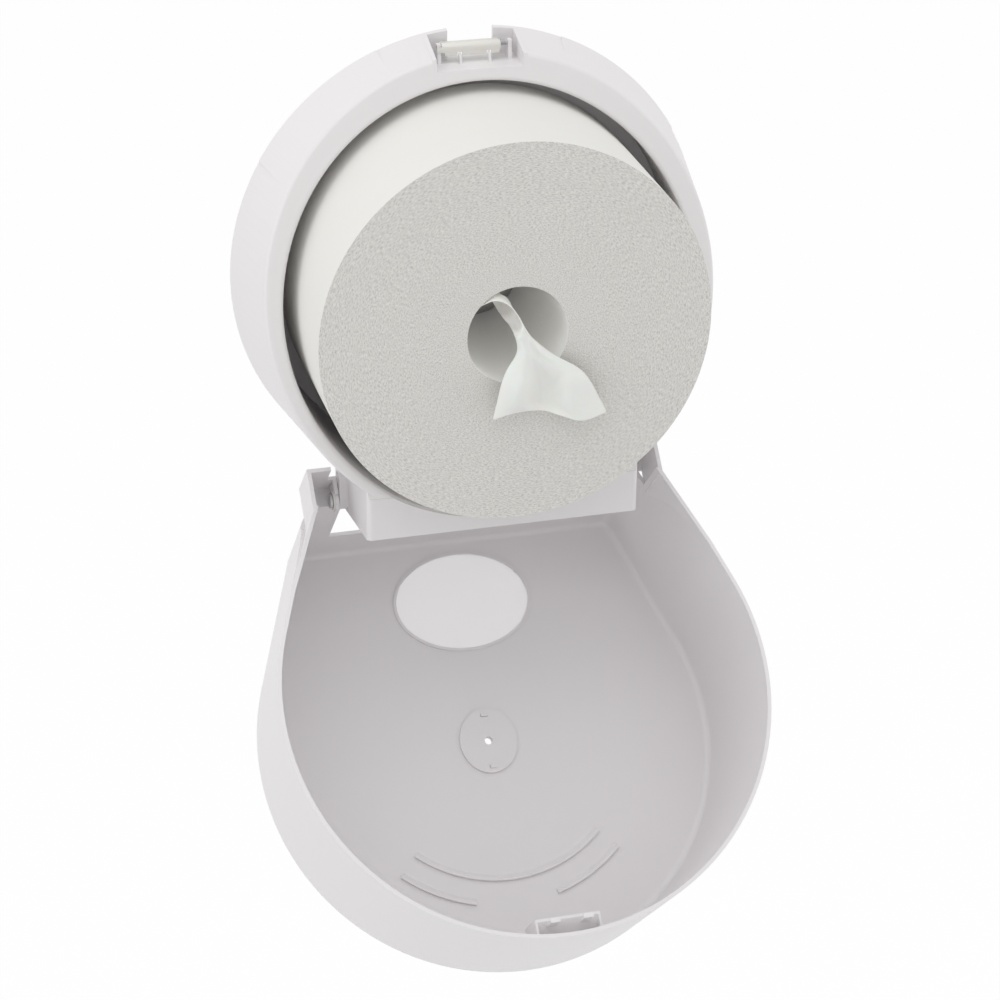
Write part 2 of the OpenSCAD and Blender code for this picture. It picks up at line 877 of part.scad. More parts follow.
// Section of the latch bar in Y and Z from its pin: a curved trough with a flange behind
module bar_section() {
    circle(barrel_r);
    translate([0, -0.4])
        square([flange_d, 1.8]);
    difference() {
        intersection() {
            translate([1.2, 0])
                circle(bar_front + 1.2);
            translate([-5, -3.9])
                square([5.2, 4.6]);
        }
        translate([1.4, -0.2])
            circle(3);
    }
}

module bar_foot(x0, x1) {
    block([x0, x1], [-latch_out - 2.6, -latch_out - 1.2], [latch_up - 6, latch_up - 2.4]);
}

module latch_bar() {
    color("ivory")
        difference() {
            union() {
                translate([0, -latch_out, latch_up])
                    along_x(latch_left, latch_right)
                        bar_section();
                bar_foot(latch_left + 3.4, -fin_at - 1.6);
                bar_foot(fin_at + 1.6, latch_right);
            }
            translate([0, -latch_out, latch_up])
                rod(latch_left - 1, latch_right + 1, latch_pin_r + 0.05);
        }
}

module latch_pin() {
    color("silver")
        translate([0, -latch_out, latch_up])
            rod(latch_left - 0.5 - rib_t, latch_right + spring_room + rib_t, latch_pin_r);
}

// Torsion spring beside the bar: a helix swept as one tube
wire_r = 0.35;
spring_r = latch_pin_r + 0.15 + wire_r;
spring_turns = 4;
spring_pitch = 0.9;
spring_x = latch_right + 0.45;

function helix_ring(a) =
    let (x = spring_x + wire_r + spring_pitch * a / 360)
    [for (k = [0 : 7]) let (b = 45 * k)
        [x + wire_r * sin(b),
            -latch_out + (spring_r + wire_r * cos(b)) * cos(a),
            latch_up + (spring_r + wire_r * cos(b)) * sin(a)]];

module latch_spring() {
    color("silver")
        skin_rings([for (a = [0 : 20 : 360 * spring_turns]) helix_ring(a)]);
}

// ---------------------------------------------------------------- paper

module paper_roll() {
    color("beige")
        translate([0, roll_back, roll_z])
            rotate([90, 0, 0])
                difference() {
                    cylinder(r = roll_r, h = roll_len);
                    translate([0, 0, -1])
                        cylinder(r = roll_hole_r, h = roll_len + 2);
                }
}

// A round strand from a to b
module strand(a, b, r) {
    v = b - a;
    translate(a)
        rotate([0, acos(v.z / norm(v)), atan2(v.y, v.x)])
            cylinder(r = r, h = norm(v));
}

// Free end of the paper: twisted inside the roll's hole, then fanned out over the roll's face
tail_t = 1.5;

module tissue_tail() {
    start_r = roll_hole_r - twist_r - roll_seat_gap;
    color("white")
        translate([0, roll_front, roll_z]) {
            strand([-start_r * sin(42), tail_depth, start_r * cos(42)], [0, -roll_seat_gap - tail_t, 0], twist_r);
            along_y(-roll_seat_gap - tail_t, -roll_seat_gap)
                polygon([
                    [-twist_r, twist_r], [twist_r, twist_r], [0.53 * tail_w, -0.44 * tail_l],
                    [0.79 * tail_w, -tail_l], [0.56 * tail_w, -1.02 * tail_l], [0.28 * tail_w, -0.98 * tail_l],
                    [0.03 * tail_w, -0.92 * tail_l], [-0.21 * tail_w, -0.94 * tail_l]
                ]);
        }
}

housing_shell();
hinge_plate_left();
hinge_plate_right();
hinge_pin_left();
hinge_pin_right();
hinge_bush_left();
hinge_bush_right();
latch_bar();
latch_pin();
latch_spring();
cover_shell();
window_lens();
nozzle_body();
nozzle_retainer();
keeper_bracket();
paper_roll();
tissue_tail();
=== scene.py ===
"""Studio model of a jumbo toilet roll dispenser with its cover swung down.

Most of the moulded and metal parts come ready shaped from the frame and get their finishes here.
The latch bar, the keeper, the slopes on the cover's ribs, the paper roll and the free end of its
tissue are modelled here. Lengths are in metres unless a comment says otherwise.
"""

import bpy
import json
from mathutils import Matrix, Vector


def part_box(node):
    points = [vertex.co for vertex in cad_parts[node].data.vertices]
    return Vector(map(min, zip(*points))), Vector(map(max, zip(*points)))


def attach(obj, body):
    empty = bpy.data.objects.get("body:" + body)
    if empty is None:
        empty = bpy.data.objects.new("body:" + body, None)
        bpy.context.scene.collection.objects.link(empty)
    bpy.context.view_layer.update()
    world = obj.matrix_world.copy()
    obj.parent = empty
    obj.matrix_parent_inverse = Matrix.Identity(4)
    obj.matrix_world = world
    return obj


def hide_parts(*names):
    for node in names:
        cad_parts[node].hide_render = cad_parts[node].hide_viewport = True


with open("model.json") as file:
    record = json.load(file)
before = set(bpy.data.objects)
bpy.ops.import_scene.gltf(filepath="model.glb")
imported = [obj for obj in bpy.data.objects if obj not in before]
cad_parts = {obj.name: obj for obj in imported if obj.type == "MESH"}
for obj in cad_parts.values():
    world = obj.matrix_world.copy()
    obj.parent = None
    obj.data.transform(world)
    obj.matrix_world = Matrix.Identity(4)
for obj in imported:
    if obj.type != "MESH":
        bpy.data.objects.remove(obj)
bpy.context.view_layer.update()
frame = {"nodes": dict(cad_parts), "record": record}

import json
import math

import bpy
from bpy.props import FloatProperty, FloatVectorProperty, IntProperty, PointerProperty
from mathutils import Matrix, Vector

bl_info = {
    "name": "Toilet Roll Dispenser",
    "version": (1, 0, 0),
    "blender": (4, 5, 0),
    "location": "3D View > Sidebar > Dispenser",
    "description": "Finishes the dispenser's parts and makes its latch, roll, tissue and studio",
    "category": "Object",
}

ROLL_LOW, ROLL_HIGH = (Vector(corner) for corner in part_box("paper_roll"))
ROLL_CENTRE = (ROLL_LOW + ROLL_HIGH) / 2
ROLL_RADIUS = (ROLL_HIGH.x - ROLL_LOW.x) / 2
ROLL_LENGTH = ROLL_HIGH.y - ROLL_LOW.y
ROLL_FACE = ROLL_LOW.y


# Sizes and colours that a user may change

class RollSettings(bpy.types.PropertyGroup):
    """The paper roll"""
    hole_radius: FloatProperty(
        name="Hole Radius", description="Radius of the open middle of the roll",
        default=0.0319, min=0.01, unit="LENGTH")
    edge_round: FloatProperty(
        name="Edge Rounding", description="Softness of the roll's outer and inner edges",
        default=0.0009, min=0.0, unit="LENGTH")
    layer_relief: FloatProperty(
        name="Layer Relief",
        description="How far the paper's layers stand in and out on the end face",
        default=0.00018, min=0.0, unit="LENGTH")
    layer_steps: IntProperty(
        name="Layer Steps", description="Number of slight steps across the end face",
        default=16, min=2, max=60)
    sides: IntProperty(
        name="Sides", description="Number of flats round the roll, which are shaded smooth",
        default=256, min=32, max=512)
    wrap_colour: FloatVectorProperty(
        name="Wrap Colour", description="Colour of the paper on the roll's side",
        default=(0.825, 0.818, 0.785), min=0.0, max=1.0, subtype="COLOR")
    edge_colour: FloatVectorProperty(
        name="Edge Colour", description="Colour of the cut paper edges on the end face",
        default=(0.82, 0.808, 0.77), min=0.0, max=1.0, subtype="COLOR")


class TissueSettings(bpy.types.PropertyGroup):
    """The free end of the tissue"""
    thickness: FloatProperty(
        name="Thickness", description="Thickness of the two-ply tissue",
        default=0.0004, min=0.0001, unit="LENGTH")
    fullness: IntProperty(
        name="Smoothness", description="Faces between two control lines of the sheet",
        default=4, min=1, max=12)
    colour: FloatVectorProperty(
        name="Colour", description="Colour of the tissue",
        default=(0.91, 0.895, 0.865), min=0.0, max=1.0, subtype="COLOR")


class MouldingSettings(bpy.types.PropertyGroup):
    """The finishes of the moulded parts"""
    white: FloatVectorProperty(
        name="White", description="Colour of the white mouldings",
        default=(0.81, 0.790, 0.797), min=0.0, max=1.0, subtype="COLOR")
    ivory: FloatVectorProperty(
        name="Ivory", description="Colour of the latch bar",
        default=(0.79, 0.78, 0.73), min=0.0, max=1.0, subtype="COLOR")
    frosted: FloatVectorProperty(
        name="Frosted", description="Colour of the frosted level window",
        default=(0.89, 0.875, 0.88), min=0.0, max=1.0, subtype="COLOR")
    roughness: FloatProperty(
        name="Roughness", description="Roughness of the white mouldings",
        default=0.42, min=0.0, max=1.0, subtype="FACTOR")


class LatchSettings(bpy.types.PropertyGroup):
    """The latch bar and the keeper that it holds"""
    skirt: FloatProperty(
        name="Skirt", description="How far the latch bar's front skirt hangs below its pin",
        default=0.0058, min=0.0037, unit="LENGTH")
    side_depth: FloatProperty(
        name="Side Depth",
        description="Depth of the keeper's side walls, from their back edges forwards",
        default=0.030, min=0.01, unit="LENGTH")
    plate_half_width: FloatProperty(
        name="Plate Half Width", description="Half the width of the keeper's plate",
        default=0.0217, min=0.016, unit="LENGTH")
    lean: FloatProperty(
        name="Lean", description="How far the keeper's plate leans forwards from upright",
        default=math.radians(42), min=0.0, max=math.radians(70), unit="ROTATION")
    wall: FloatProperty(
        name="Wall", description="Thickness of the keeper's plate and side walls",
        default=0.0015, min=0.0008, unit="LENGTH")
    edge: FloatProperty(
        name="Edge Rounding", description="Rounding of the mouldings' edges",
        default=0.00022, min=0.0, unit="LENGTH")


class RibSettings(bpy.types.PropertyGroup):
    """The slopes on the cover's curved ribs"""
    slope_width: FloatProperty(
        name="Slope Width", description="Width of the slope on each rib's inner side",
        default=0.0027, min=0.001, unit="LENGTH")
    slope_height: FloatProperty(
        name="Slope Height", description="Height of each slope where it meets its rib",
        default=0.0022, min=0.0005, unit="LENGTH")
    steps: IntProperty(
        name="Steps", description="Number of flats along each slope, which are shaded smooth",
        default=48, min=8, max=200)


class StudioSettings(bpy.types.PropertyGroup):
    """Camera, floor and lights"""
    lens: FloatProperty(
        name="Lens", description="Focal length of the camera on a 36 mm sensor, in millimetres",
        default=107.53, min=20.0, max=400.0, unit="CAMERA")
    floor_drop: FloatProperty(
        name="Floor Drop", description="How far the floor is below the middle of the housing",
        default=1.0, min=0.4, unit="LENGTH")
    ambient: FloatProperty(
        name="Ambient", description="Strength of the even light from all round",
        default=0.72, min=0.0)
    key: FloatProperty(
        name="Key Light", description="Power of the large soft light above, in watts",
        default=9.2, min=0.0, unit="POWER")
    side: FloatProperty(
        name="Side Light",
        description="Power of the right soft light, in watts, which also scales the left one",
        default=4.0, min=0.0, unit="POWER")
    low: FloatProperty(
        name="Low Light", description="Power of the soft light below and in front, in watts",
        default=0.8, min=0.0, unit="POWER")


# Shader maths as expressions

class Wire:
    """A value in a tree of nodes, on which sums are written as they are in Python"""

    def __init__(self, tree, socket):
        self.tree, self.socket = tree, socket

    def maths(self, operation, *others):
        return self.tree.node(
            "ShaderNodeMath", {"operation": operation}, dict(enumerate((self, *others))))

    def __add__(self, other):
        return self.maths("ADD", other)

    __radd__ = __add__

    def __mul__(self, other):
        return self.maths("MULTIPLY", other)

    __rmul__ = __mul__


class Tree:
    """The nodes of a material or of the world, under construction"""

    def __init__(self, owner):
        owner.use_nodes = True
        self.nodes, self.links = owner.node_tree.nodes, owner.node_tree.links

    def fill(self, socket, value):
        """Links a wire to a socket, or writes a value in it"""
        if isinstance(value, Wire):
            self.links.new(value.socket, socket)
        elif socket.type == "RGBA" and len(value) == 3:
            socket.default_value = (*value, 1.0)
        else:
            socket.default_value = value

    def node(self, kind, settings=None, sockets=None, output=0):
        """Adds a node, sets it and then its sockets, and gives one of its outputs"""
        made = self.nodes.new(kind)
        for name, value in (settings or {}).items():
            if name == "stops":
                for stop, (place, colour) in zip(made.color_ramp.elements, value):
                    stop.position, stop.color = place, colour
            else:
                setattr(made, name, value)
        for name, value in (sockets or {}).items():
            self.fill(made.inputs[name], value)
        return Wire(self, made.outputs[output])

    def seen(self):
        """1 for what the camera sees, also in metal or through glass, and 0 for diffuse light"""
        camera, glossy, glass = (
            self.node("ShaderNodeLightPath", output=ray)
            for ray in ("Is Camera Ray", "Is Glossy Ray", "Is Transmission Ray"))
        return camera.maths("MAXIMUM", glossy).maths("MAXIMUM", glass)


class Finish(Tree):
    """A material under construction, with the few kinds of node that the finishes share"""

    def __init__(self, name):
        self.material = bpy.data.materials.new(name)
        super().__init__(self.material)
        self.shader = self.nodes["Principled BSDF"]

    def place(self, scale=(1.0, 1.0, 1.0), centre=(0.0, 0.0, 0.0)):
        """Where a point of the piece is, in metres from centre, stretched by scale"""
        where = self.node("ShaderNodeTexCoord", output="Object")
        moved = [-c * s for c, s in zip(centre, scale)]
        return self.node(
            "ShaderNodeMapping", {}, {"Vector": where, "Scale": scale, "Location": moved})

    def noise(self, where, scale, detail=2.0, roughness=0.5):
        """A soft random pattern from 0 to 1"""
        return self.node(
            "ShaderNodeTexNoise", {},
            {"Vector": where, "Scale": scale, "Detail": detail, "Roughness": roughness})

    def blend(self, amount, first, second):
        """A colour between two others"""
        # a Mix node takes colours in sockets 6 and 7, and gives their mix in output 2
        return self.node(
            "ShaderNodeMix", {"data_type": "RGBA"}, {0: amount, 6: first, 7: second}, output=2)

    def tint(self, amount, colour, least, most):
        """A colour whose brightness goes from least to most times its own"""
        return self.blend(amount, shade(colour, least), shade(colour, most))

    def relief(self, height, depth, strength):
        """Normals for a surface whose height, from 0 to 1, stands for depth in metres"""
        return self.node(
            "ShaderNodeBump", {}, {"Height": height, "Distance": depth, "Strength": strength})

    def surface(self, **values):
        """Fills sockets of the main shader, with _ for the spaces in their names"""
        for name, value in values.items():
            self.fill(self.shader.inputs[name.replace("_", " ")], value)
        return self.material


def shade(colour, amount):
    """A colour with its brightness multiplied"""
    return tuple(c * amount for c in colour)


# The finishes

def white_moulding(look):
    """Injection-moulded white plastic: a fine spark-eroded grain and a slow drift of sheen"""
    finish = Finish("White moulding")
    grain = finish.noise(finish.place(), 1400.0, detail=2.0, roughness=0.6)
    drift = finish.noise(finish.place(), 9.0, detail=3.0)
    return finish.surface(
        Base_Color=finish.tint(drift, look.white, least=0.985, most=1.01),
        Roughness=drift * 0.10 + grain * 0.05 + (look.roughness - 0.075),
        IOR=1.52,
        Normal=finish.relief(grain, depth=0.00002, strength=0.35))


def ivory_moulding(look):
    """Unpigmented acetal of the latch, a little waxy"""
    finish = Finish("Ivory acetal")
    cloud = finish.noise(finish.place(), 60.0, detail=3.0)
    grain = finish.noise(finish.place(), 900.0)
    return finish.surface(
        Base_Color=finish.tint(cloud, look.ivory, least=0.97, most=1.02),
        Roughness=cloud * 0.08 + 0.30,
        IOR=1.48,
        Subsurface_Weight=0.10,
        Subsurface_Scale=0.002,
        Normal=finish.relief(grain, depth=0.00001, strength=0.3))


def nylon_bearing():
    """Natural nylon of the hinge bushes"""
    finish = Finish("Natural nylon")
    cloud = finish.noise(finish.place(), 120.0)
    return finish.surface(
        Base_Color=finish.blend(cloud, (0.80, 0.79, 0.75), (0.84, 0.83, 0.79)),
        Roughness=cloud * 0.1 + 0.36,
        Normal=finish.relief(cloud, depth=0.00002, strength=0.3))


def frosted_window(look):
    """Frosted styrene of the level window, with a satin face and a milky body"""
    finish = Finish("Frosted styrene")
    mist = finish.noise(finish.place(), 900.0)
    return finish.surface(
        Base_Color=finish.tint(mist, look.frosted, least=0.995, most=1.005),
        Roughness=mist * 0.06 + 0.42,
        IOR=1.45,
        Transmission_Weight=0.82,
        Normal=finish.relief(mist, depth=0.00001, strength=0.2))


def drawn_steel(name, colour, stretch):
    """Steel rod or wire, with the fine lines that drawing leaves along it"""
    finish = Finish(name)
    lines = finish.noise(finish.place(stretch), 1.0, detail=3.0, roughness=0.6)
    return finish.surface(
        Base_Color=finish.tint(lines, colour, least=0.86, most=1.0),
        Metallic=1.0,
        Roughness=lines * 0.20 + 0.42,
        Normal=finish.relief(lines, depth=0.00001, strength=0.4))


def wrapped_paper(look):
    """The roll's side: soft crepe, with fine creases that run along the roll"""
    finish = Finish("Wrapped tissue")
    crepe = finish.noise(
        finish.place((1500.0, 260.0, 1500.0), ROLL_CENTRE), 1.0, detail=3.0, roughness=0.6)
    cloud = finish.noise(finish.place(), 30.0, detail=3.0)
    return finish.surface(
        Base_Color=finish.tint(cloud, look.wrap_colour, least=0.985, most=1.01),
        Roughness=0.94,
        Specular_IOR_Level=0.12,
        Normal=finish.relief(crepe, depth=0.00012, strength=0.5))


def inner_wraps_painted_light(look):
    """The hole's wall: the first turns of paper, which light passes into, brightened by painted
    light
    """
    finish = Finish("Inner wraps with painted light")
    crepe = finish.noise(
        finish.place((900.0, 200.0, 900.0), ROLL_CENTRE), 1.0, detail=3.0, roughness=0.6)
    return finish.surface(
        # painted light: the wrap colour made 1.12 to 1.18 times as bright, for the lit wall of the
        # hole
        Base_Color=finish.tint(crepe, look.wrap_colour, least=1.12, most=1.18),
        Roughness=0.95,
        Specular_IOR_Level=0.1,
        Subsurface_Weight=0.9,
        Subsurface_Radius=(1.0, 0.98, 0.92),
        Subsurface_Scale=0.06,
        # painted glow: a faint emission in the wrap colour lightens the hole's wall
        Emission_Color=look.wrap_colour,
        Emission_Strength=0.035,
        Normal=finish.relief(crepe, depth=0.0002, strength=0.5))


def layered_edges(look):
    """The roll's end: thousands of paper edges wound round the hole"""
    finish = Finish("Tissue edges")
    axis = Vector((ROLL_CENTRE.x, 0.0, ROLL_CENTRE.z))
    across = finish.place((1.0, 0.0, 1.0), axis)
    reach = finish.node("ShaderNodeVectorMath", {"operation": "LENGTH"}, {0: across}, "Value")
    sideways, upwards = (
        finish.node("ShaderNodeSeparateXYZ", {}, {0: across}, part) for part in ("X", "Z"))
    turn = upwards.maths("ARCTAN2", sideways)
    wound = finish.node(
        "ShaderNodeCombineXYZ", {}, {"X": reach * 1700.0, "Y": turn * 42.0, "Z": 0.0})
    layers = finish.noise(wound, 1.0, detail=3.0, roughness=0.65)
    fuzz = finish.noise(finish.place(centre=axis), 1700.0, detail=2.0, roughness=0.7)
    cloud = finish.noise(finish.place(), 24.0)
    black, white = (0.0, 0.0, 0.0, 1.0), (1.0, 1.0, 1.0, 1.0)
    streaks = finish.node(
        "ShaderNodeValToRGB", {"stops": ((0.36, black), (0.56, white))},
        {"Fac": layers * 0.62 + fuzz * 0.38})
    return finish.surface(
        Base_Color=finish.blend(
            streaks, shade(look.edge_colour, 0.62),
            finish.tint(cloud, look.edge_colour, least=1.01, most=1.04)),
        Roughness=0.97,
        Specular_IOR_Level=0.08,
        Normal=finish.relief(layers * 0.55 + fuzz * 0.45, depth=0.0007, strength=0.6))


def soft_tissue(look):
    """The free tissue, with the fine crepe lines of its making across the sheet"""
    finish = Finish("Soft tissue")
    sheet = finish.node("ShaderNodeTexCoord", output="UV")
    stretched = finish.node(
        "ShaderNodeMapping", {}, {"Vector": sheet, "Scale": (40.0, 360.0, 1.0)})
    crepe = finish.noise(stretched, 1.0, detail=3.0, roughness=0.6)
    return finish.surface(
        Base_Color=finish.tint(crepe, look.colour, least=0.985, most=1.01),
        Roughness=0.92,
        Specular_IOR_Level=0.12,
        Subsurface_Weight=0.20,
        Subsurface_Scale=0.002,
        Normal=finish.relief(crepe, depth=0.00008, strength=0.4))


# Help with modelling

# The angles past which an edge is rounded, and past which a face is shaded apart from the next
EDGE_ANGLE, SMOOTH_ANGLE = math.radians(40), math.radians(35)


def start_afresh():
    """Leaves edit mode and deselects everything"""
    if bpy.context.object and bpy.context.object.mode != "OBJECT":
        bpy.ops.object.mode_set(mode="OBJECT")
    bpy.ops.object.select_all(action="DESELECT")


def only(piece):
    """Selects one piece and makes it the active one"""
    start_afresh()
    piece.select_set(True)
    bpy.context.view_layer.objects.active = piece


def pick_faces(piece, wanted):
    """In edit mode, selects the faces for which wanted(face) holds"""
    bpy.ops.mesh.select_all(action="DESELECT")
    bpy.ops.object.mode_set(mode="OBJECT")
    for face in piece.data.polygons:
        face.select = wanted(face)
    bpy.ops.object.mode_set(mode="EDIT")
    bpy.ops.mesh.select_mode(type="FACE")


def apply_modifier(piece, kind, name, **settings):
    """Adds a modifier with its settings and applies it"""
    made = piece.modifiers.new(name, kind)
    for setting, value in settings.items():
        setattr(made, setting, value)
    only(piece)
    bpy.ops.object.modifier_apply(modifier=made.name)


def middle(node):
    """The middle of a CAD node's box at rest"""
    low, high = (Vector(corner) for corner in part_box(node))
    return (low + high) / 2


def settle():
    """Moves the active object's place, turn and scale into its mesh"""
    bpy.ops.object.transform_apply(location=True, rotation=True, scale=True)


def slab(low, high):
    """A block between two corners, as a start for a moulded form"""
    start_afresh()
    low, high = Vector(low), Vector(high)
    bpy.ops.mesh.primitive_cube_add(size=1.0, location=(low + high) / 2)
    block = bpy.context.object
    block.scale = high - low
    settle()
    return block


def bar_along_x(outline, start, end, steps=1):
    """A bar from start to end along X in equal steps, with its outline in Y and Z"""
    step = ((end - start) / steps, 0.0, 0.0)
    start_afresh()
    bpy.ops.mesh.primitive_circle_add(vertices=len(outline), radius=1.0, fill_type="NGON")
    bar = bpy.context.object
    for point, (y, z) in zip(bar.data.vertices, outline):
        point.co = (start, y, z)
    bpy.ops.object.mode_set(mode="EDIT")
    bpy.ops.mesh.select_all(action="SELECT")
    for _ in range(steps):
        bpy.ops.mesh.extrude_region_move(TRANSFORM_OT_translate={"value": step})
    bpy.ops.mesh.select_all(action="SELECT")
    bpy.ops.mesh.normals_make_consistent(inside=False)
    bpy.ops.object.mode_set(mode="OBJECT")
    return bar


def combine(piece, others, operation="UNION"):
    """Joins other forms to a piece, cuts them from it or keeps what they share"""
    for other in others:
        apply_modifier(
            piece, "BOOLEAN", "Combine", object=other, operation=operation, solver="EXACT")
        bpy.data.objects.remove(other)


def swing_open(piece):
    """Turns a piece that was made for the shut cover to where the open cover has it"""
    joints = frame["record"]["behaviour"]["joints"]
    swing = next(joint for joint in joints if joint["name"] == "cover_hinge")
    hinge = Vector(swing["pos_m"])
    turn = Matrix.Rotation(math.radians(-swing["range_deg"][0]), 4, "X")
    piece.data.transform(Matrix.Translation(hinge) @ turn @ Matrix.Translation(-hinge))


def dress_moulding(piece, name, material, edge=0.0):
    """Names a moulding, rounds its edges by the width that edge gives, and gives it its finish"""
    piece.name = piece.data.name = name
    if edge:
        apply_modifier(
            piece, "BEVEL", "Edges", width=edge, segments=2, limit_method="ANGLE",
            angle_limit=EDGE_ANGLE)
    piece.data.materials.clear()
    piece.data.materials.append(material)
    only(piece)
    bpy.ops.object.shade_smooth_by_angle(angle=SMOOTH_ANGLE)


def give(nodes, material):
    """Puts a finish on parts that come from the frame"""
    for name in nodes:
        for slot in frame["nodes"][name].material_slots:
            slot.material = material


# The pieces

class DISPENSER_OT_mouldings(bpy.types.Operator):
    """Finish the housing, hinge plates, cover, paper outlet and level window"""
    bl_idname = "dispenser.mouldings"
    bl_label = "White Mouldings"

    def execute(self, context):
        look = context.scene.dispenser_mouldings
        give(("housing_shell", "hinge_plate_left", "hinge_plate_right", "cover_shell",
              "nozzle_body", "nozzle_retainer"), white_moulding(look))
        give(("window_lens",), frosted_window(look))
        return {"FINISHED"}


class DISPENSER_OT_fittings(bpy.types.Operator):
    """Finish the small working parts: spring, pins and bushes"""
    bl_idname = "dispenser.fittings"
    bl_label = "Pins, Bushes and Spring"

    def execute(self, context):
        give(("hinge_bush_left", "hinge_bush_right"), nylon_bearing())
        give(("hinge_pin_left", "hinge_pin_right", "latch_pin"), drawn_steel(
            "Drawn steel pin", colour=(0.63, 0.63, 0.64), stretch=(300.0, 4000.0, 4000.0)))
        give(("latch_spring",), drawn_steel(
            "Spring wire", colour=(0.62, 0.62, 0.64), stretch=(2500.0, 900.0, 900.0)))
        return {"FINISHED"}


# The latch bar in millimetres behind and above its pin: the outline of its flange, barrel and
# short front wall, the skirt that carries this wall on downwards, and its end past the left lug
BAR_OUTLINE = (
    (5.5, -0.4), (5.5, 1.4), (2.0, 1.4), (1.3, 1.75), (0.0, 2.15), (-1.3, 1.75), (-2.4, 1.2),
    (-3.05, 0.4), (-3.2, -0.8), (-3.1, -2.2), (-3.0, -3.6), (-1.8, -3.6), (-1.75, -2.4),
    (-1.3, -1.8), (0.0, -2.15), (1.3, -1.75), (2.0, -0.9), (2.2, -0.4))
SKIRT_DEPTH, SKIRT_TOP = (-3.0, -1.8), -3.4
LUG_WALL_DEPTH, LUG_WALL_HEIGHT = (-3.2, -2.5), (-3.2, 0.3)

# Along the bar: how far the skirt stops short of its left and right ends, where each of its slots
# for the fins starts and ends, how far the wall past the lug stands out and runs in, and the bore
SKIRT_SHORT_LEFT, SKIRT_SHORT_RIGHT = 0.0020, 0.0006
FIN_SLOT_START, FIN_SLOT_END = 0.0080, 0.0112
LUG_WALL_OUT, LUG_WALL_IN = 0.0031, 0.0004
BORE_RADIUS, BORE_LENGTH = 0.0013, 0.06


class DISPENSER_OT_latch_bar(bpy.types.Operator):
    """Make the latch bar: a flanged trough on its pin, with a skirt that clears the two fins"""
    bl_idname = "dispenser.latch_bar"
    bl_label = "Latch Bar"

    def execute(self, context):
        sizes = context.scene.dispenser_latch
        left, right = (Vector(corner).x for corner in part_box("latch_bar"))
        pin = middle("latch_pin")

        def from_pin(y, z):
            return pin.y + y / 1000, pin.z + z / 1000

        def block(ends, depth, height):
            front_low, back_high = zip(depth, height)
            return slab((ends[0], *from_pin(*front_low)), (ends[1], *from_pin(*back_high)))

        bar = bar_along_x([from_pin(y, z) for y, z in BAR_OUTLINE], left, right)
        skirt_height = (-sizes.skirt * 1000, SKIRT_TOP)
        skirt_lengths = (
            (left + SKIRT_SHORT_LEFT, -FIN_SLOT_END), (-FIN_SLOT_START, FIN_SLOT_START),
            (FIN_SLOT_END, right - SKIRT_SHORT_RIGHT))
        combine(bar, [block(ends, SKIRT_DEPTH, skirt_height) for ends in skirt_lengths])
        lug_wall = (left - LUG_WALL_OUT, left + LUG_WALL_IN)
        combine(bar, [block(lug_wall, LUG_WALL_DEPTH, LUG_WALL_HEIGHT)])
        start_afresh()
        bpy.ops.mesh.primitive_cylinder_add(
            vertices=48, radius=BORE_RADIUS, depth=BORE_LENGTH, location=(0.0, pin.y, pin.z),
            rotation=(0.0, math.pi / 2, 0.0))
        bore = context.object
        settle()
        combine(bar, [bore], "DIFFERENCE")
        ivory = ivory_moulding(context.scene.dispenser_mouldings)
        dress_moulding(bar, "latch_bar_moulding", ivory, sizes.edge)
        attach(bar, "latch")
        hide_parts("latch_bar")
        return {"FINISHED"}


# The keeper of the shut cover, from the middle of the latch pin: its back edge, its free edge and
# the height that its walls reach before the cover's band cuts them; the plate's thickness along Y
# and the lip on its free edge, as shares of its wall; and the two hooks that hold the latch bar
KEEPER_BACK, KEEPER_FREE_EDGE, KEEPER_REACH = -0.0039, -0.0001, 0.0147
PLATE_ALONG_Y, PLATE_LIP = 1.3, 0.2
HOOK_PLACES, HOOK_HALF_WIDTH, HOOK_ROOT = (-0.011, 0.011), 0.0032, 0.0042
HOOK_TOP, ARM_UNDERSIDE, BARB_TIP, BARB_DEPTH = 0.0035, 0.0024, 0.0007, (0.0059, 0.0075)

# The inside of the shut cover's band: where it starts, its depth and its radius at both ends
BAND_START, BAND_DEPTH, BAND_BACK, BAND_FRONT = -0.0041, 0.052, 0.16128, 0.16039


